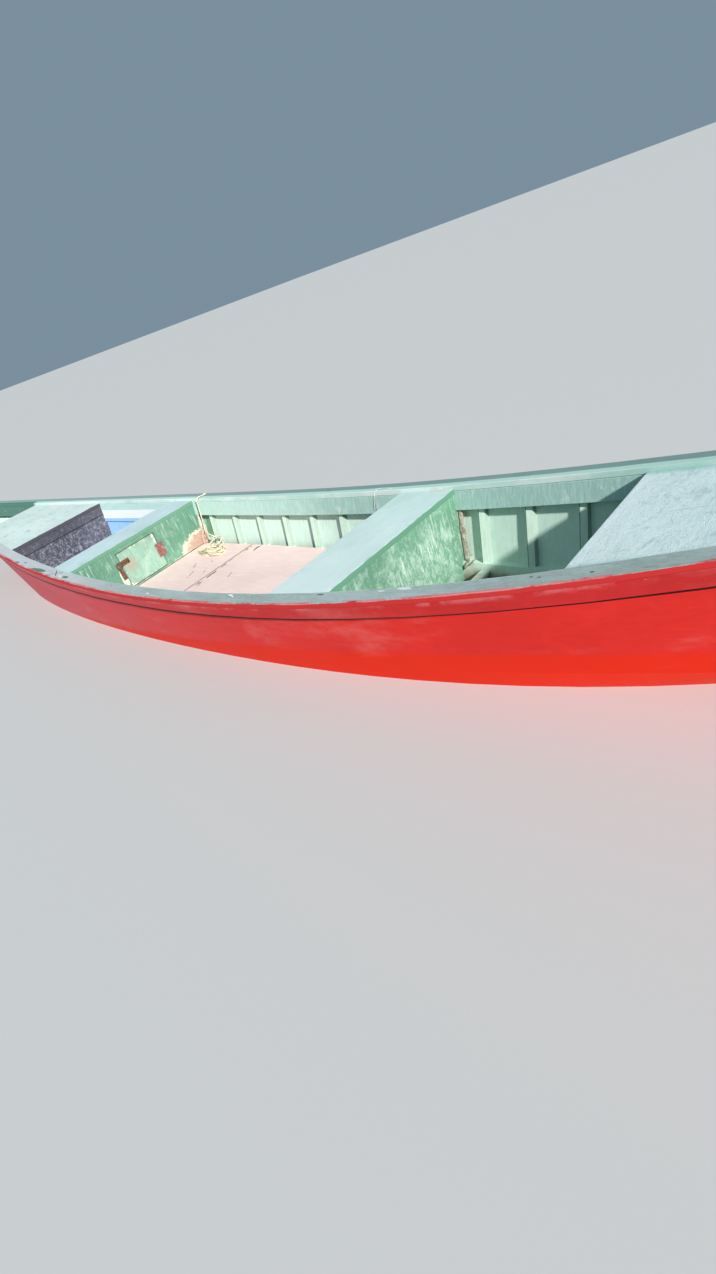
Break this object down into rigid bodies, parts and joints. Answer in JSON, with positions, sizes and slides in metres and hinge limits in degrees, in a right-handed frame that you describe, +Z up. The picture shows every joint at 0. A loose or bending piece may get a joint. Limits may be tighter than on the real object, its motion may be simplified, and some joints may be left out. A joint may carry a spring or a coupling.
{
  "type": "balam boat",
  "caption": "Long double-ended flat-bottomed marsh boat with ribbed sides, decks, a box thwart, a locker with a hinged door, and a heap of rope.",
  "frame": {"origin": "under the middle of the boat, on the level of the flat bottom's underside", "axes": "+X to the bow, +Y to port, +Z up"},
  "size_m": [8.9092, 1.322, 0.98],
  "materials": {
    "hull_red": "red gloss boat paint over glass-sheathed planks, rubbed at the edges",
    "gunwale_grey_green": "worn grey-green paint with chips",
    "mint_paint": "thick brushed mint paint over glass cloth",
    "deck_mint": "pale mint paint, chalky in the sun",
    "stern_green": "dark green paint",
    "well_dark": "dark mottled coating",
    "bulkhead_green": "mid green paint worn in pale streaks",
    "lining_blue": "light blue paint",
    "strip_white": "white paint",
    "floor_pink": "faded pink paint on boards",
    "rusty_iron": "rusted iron",
    "rope": "laid natural-fibre rope"
  },
  "bodies": {
    "hull": {"topside_port": "hull_red", "topside_starboard": "hull_red", "bilge_strake_port": "hull_red", "bilge_strake_starboard": "hull_red", "bottom_planking": "hull_red", "stem_bow": "hull_red", "stem_stern": "hull_red", "rubbing_strake_port": "hull_red", "rubbing_strake_starboard": "hull_red", "gunwale_cap_port": "gunwale_grey_green", "gunwale_cap_starboard": "gunwale_grey_green", "inwale_port": "mint_paint", "inwale_starboard": "mint_paint", "ribs_port": "mint_paint", "ribs_starboard": "mint_paint", "floor_timbers": "mint_paint", "aft_platform": "deck_mint", "locker_top": "deck_mint", "box_thwart_top": "deck_mint", "foredeck": "deck_mint", "stern_deck": "deck_mint", "bulkhead_platform": "stern_green", "bulkhead_well": "well_dark", "bulkhead_locker_aft": "lining_blue", "bulkhead_locker_front": "bulkhead_green", "box_thwart_aft_side": "bulkhead_green", "box_thwart_fore_side": "bulkhead_green", "bulkhead_foredeck": "bulkhead_green", "well_lining": "lining_blue", "well_lining_strip": "strip_white", "well_floor": "lining_blue", "floor_panel_aft": "floor_pink", "floor_panel_fore": "floor_pink", "floor_margin_fore": "floor_pink", "hinge_leaf_bulkhead": "rusty_iron", "hinge_pin": "rusty_iron", "staple": "rusty_iron", "staple_plate": "rusty_iron", "rope_lead": "rope", "rope_heap": "rope", "rope_knot": "rope"},
    "door": {"locker_door": "bulkhead_green", "hinge_leaf_door": "rusty_iron", "hasp": "rusty_iron"}
  },
  "joints": [
    {"name": "locker_door_hinge", "type": "hinge", "parent": "hull", "child": "door", "pos_m": [-0.8067, 0.1325, 0.278], "axis": [0, 0, 1], "range_deg": [0, 105]}
  ]
}
